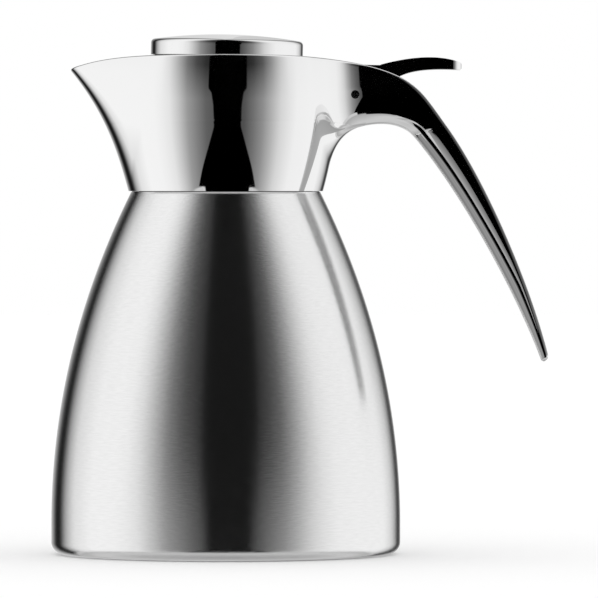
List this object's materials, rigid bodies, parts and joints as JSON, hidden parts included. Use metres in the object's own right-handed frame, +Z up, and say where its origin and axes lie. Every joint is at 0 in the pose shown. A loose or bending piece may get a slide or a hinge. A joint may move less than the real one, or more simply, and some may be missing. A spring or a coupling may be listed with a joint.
{
  "type": "thermal carafe",
  "caption": "Waisted vacuum carafe with a drop-shaped polished pouring collar, a curved side handle and a stoppered lid that swings up when its thumb lever is pressed.",
  "frame": {"origin": "on the body's axis at table height, the middle of the foot ring's resting face", "axes": "+Z up along the body's axis, -X towards the spout, +X towards the handle, Y across"},
  "size_m": [0.1986, 0.1396, 0.2079],
  "materials": {
    "brushed_steel": "fine brushing round the axis",
    "polished_metal": "mirror polish",
    "inner_steel": "plain drawn steel",
    "getter_metal": "sintered, matte",
    "pin_steel": "ground and turned",
    "black_moulding": "fine satin",
    "pale_bush": "smooth moulding",
    "foam": "closed-cell foam",
    "silicone": "soft satin",
    "black_rubber": "matte"
  },
  "bodies": {
    "carafe": {"outer_shell": "brushed_steel", "inner_vessel": "inner_steel", "vacuum_base": "inner_steel", "getter": "getter_metal", "base_cover": "black_moulding", "foot_ring": "black_rubber", "neck_ring": "black_moulding", "neck_gasket": "silicone", "spout_collar": "polished_metal", "handle": "polished_metal", "pouring_insert": "black_moulding", "hinge_pin": "pin_steel"},
    "lid": {"thumb_lever": "polished_metal", "hinge_bushes": "pale_bush", "lid_cap": "polished_metal", "lid_carrier": "black_moulding", "stopper_body": "black_moulding", "stopper_insulation": "foam", "stopper_bottom": "black_moulding", "stopper_seal": "silicone", "lid_screws": "pin_steel"}
  },
  "joints": [
    {"name": "lid_hinge", "type": "hinge", "parent": "carafe", "child": "lid", "pos_m": [0.0517, 0, 0.1838], "axis": [0, 1, 0], "range_deg": [0, 38]}
  ]
}
